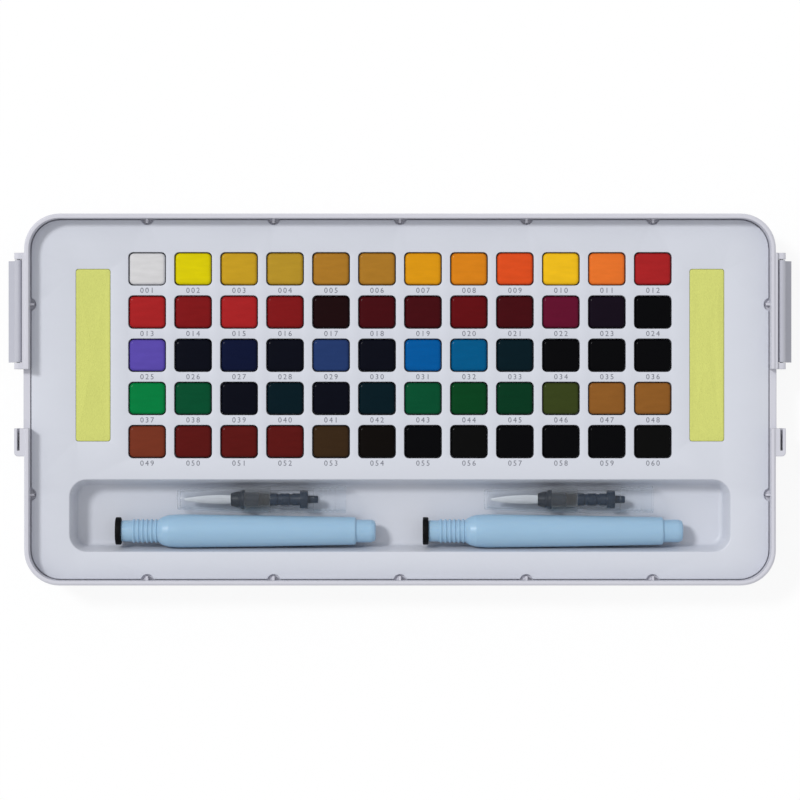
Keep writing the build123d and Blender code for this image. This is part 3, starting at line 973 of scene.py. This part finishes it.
class PAINTSET_OT_barrels(bpy.types.Operator):
    """Mould the squeeze barrels with their threaded necks, and the black plugs"""

    bl_idname = "paint_set.barrels"
    bl_label = "Barrels and plugs"

    def execute(self, context):
        colours = context.scene.paint_set_colours
        blue = moulded_plastic("barrel plastic", colours.barrel, 0.36, milky=0.3)
        black = moulded_plastic("plug plastic", colours.plug, 0.5, shine=0.1)
        neck = thread(first=5.1, pitch=1.86, turns=6, ring=NECK_RING)
        barrel_section = softened(BARREL_INSIDE + BARREL_MOUTH + neck + BARREL_OUTSIDE,
                                  rounding=0.35, steps=4)
        plug_section = softened(PLUG, rounding=0.2, steps=3)
        for side in SIDES:
            node = f"barrel_{side}"
            barrel = turned(f"squeeze_barrel_{side}", barrel_section, left_end(node), blue, sides=72)
            place(barrel, node, "barrel_plastic", node)
            node = f"plug_{side}"
            plug = turned(f"travel_plug_{side}", plug_section, left_end(node), black,
                          sides=96, flutes=24, flute=0.06 * MM)
            place(plug, node, "black_plastic", node)
        return {"FINISHED"}


class PAINTSET_OT_heads(bpy.types.Operator):
    """Mould the clear caps and grips, the ferrules and the inner valves"""

    bl_idname = "paint_set.heads"
    bl_label = "Caps and brush heads"

    def execute(self, context):
        colours = context.scene.paint_set_colours
        cap_finish = clear_plastic("clear cap", colours.clear, haze=0.014)
        grip_finish = clear_plastic("clear grip", colours.clear, haze=0.008)
        dark = moulded_plastic("ferrule plastic", colours.ferrule, 0.35, shine=0.15)
        smoky = moulded_plastic("valve plastic", colours.feed, 0.35, shine=0.2)
        grip_bore = GRIP_BORE + thread(first=31.6, pitch=1.9, turns=4, ring=GRIP_RING)
        cone_section = softened(NOSE_CONE, rounding=0.2, steps=2)
        valve_section = softened(VALVE, rounding=0.15, steps=2)
        for side in SIDES:
            node = f"cap_{side}"
            cap = fluted(f"clear_cap_{side}", CAP_BORE, CAP_OUTSIDE, left_end(node), cap_finish,
                         flutes=14, flute=0.16 * MM)
            place(cap, node, "clear_plastic", node)
            node = f"brush_head_{side}"
            grip = fluted(f"clear_grip_{side}", grip_bore, GRIP_OUTSIDE, left_end(node),
                          grip_finish, flutes=12, flute=0.14 * MM)
            place(grip, f"head_{side}", "clear_plastic", node)
            node = f"ferrule_{side}"
            cone = turned(f"nose_cone_{side}", cone_section, left_end(node), dark, sides=48)
            place(cone, f"head_{side}", "black_plastic", node)
            node = f"feed_{side}"
            valve = turned(f"valve_{side}", valve_section, left_end(node), smoky, sides=40)
            place(valve, f"head_{side}", "grey_plastic", node)
        return {"FINISHED"}


class PAINTSET_OT_tufts(bpy.types.Operator):
    """Set the white nylon tufts, which swell a little and come to a point"""

    bl_idname = "paint_set.tufts"
    bl_label = "Tufts"

    def execute(self, context):
        scene = context.scene
        finish = white_nylon(scene.paint_set_colours.bristle)
        for side in SIDES:
            self.tuft(side, scene.paint_set_sizes.strands, finish)
        return {"FINISHED"}

    def tuft(self, side, count, finish):
        low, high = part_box(f"bristles_{side}")
        root, tip = high[0] - BACK_THICK, low[0]
        y, z = (low[1] + high[1]) / 2, (low[2] + high[2]) / 2
        mould = Mould()
        golden = pi * (3 - sqrt(5))
        corners = [(cos(k * 2 * pi / 3), sin(k * 2 * pi / 3)) for k in range(3)]
        for index in range(count):
            spread = TUFT_RADIUS * sqrt((index + 0.5) / count)
            angle = index * golden
            levels = []
            for share, wide, thick in TUFT_STATIONS:
                cy, cz = y + spread * wide * cos(angle), z + spread * wide * sin(angle)
                x = root + (tip - root) * share
                size = STRAND_RADIUS * thick
                levels.append([(x, cy + size * c, cz + size * s) for c, s in corners])
            rings = mould.rings(levels)
            mould.lid(rings[-1])
        disc = [(cos(k * pi / 12), sin(k * pi / 12)) for k in range(24)]
        rings = mould.rings([[(x, y + BACK_RADIUS * c, z + BACK_RADIUS * s) for c, s in disc]
                             for x in (root, high[0])])
        mould.lid(rings[0])
        mould.lid(rings[1])
        place(mould.finish(f"tuft_{side}", finish, sharp=70), f"head_{side}", "bristle",
              f"bristles_{side}")


class PAINTSET_PT_panel(bpy.types.Panel):
    """Lists the set's colours, sizes and building steps"""

    bl_idname = "PAINTSET_PT_panel"
    bl_label = "Paint Set"
    bl_space_type = "VIEW_3D"
    bl_region_type = "UI"
    bl_category = "Paint Set"

    def draw(self, context):
        layout = self.layout
        for step in STEPS:
            layout.operator(step.bl_idname)
        for group in (context.scene.paint_set_colours, context.scene.paint_set_sizes):
            box = layout.box()
            for key in group.bl_rna.properties.keys():
                if key not in {"rna_type", "name"}:
                    box.prop(group, key)


STEPS = (
    PAINTSET_OT_stage,
    PAINTSET_OT_case,
    PAINTSET_OT_tray,
    PAINTSET_OT_paints,
    PAINTSET_OT_numbers,
    PAINTSET_OT_sponges,
    PAINTSET_OT_barrels,
    PAINTSET_OT_heads,
    PAINTSET_OT_tufts,
)
CLASSES = (PaintSetColours, PaintSetSizes) + STEPS + (PAINTSET_PT_panel,)


def register():
    for kind in CLASSES:
        bpy.utils.register_class(kind)
    bpy.types.Scene.paint_set_colours = PointerProperty(type=PaintSetColours)
    bpy.types.Scene.paint_set_sizes = PointerProperty(type=PaintSetSizes)


def unregister():
    del bpy.types.Scene.paint_set_sizes
    del bpy.types.Scene.paint_set_colours
    for kind in reversed(CLASSES):
        bpy.utils.unregister_class(kind)


def main():
    register()
    bpy.ops.paint_set.stage()
    bpy.ops.paint_set.case()
    bpy.ops.paint_set.tray()
    bpy.ops.paint_set.paints()
    bpy.ops.paint_set.numbers()
    bpy.ops.paint_set.sponges()
    bpy.ops.paint_set.barrels()
    bpy.ops.paint_set.heads()
    bpy.ops.paint_set.tufts()


if __name__ == "__main__":
    main()
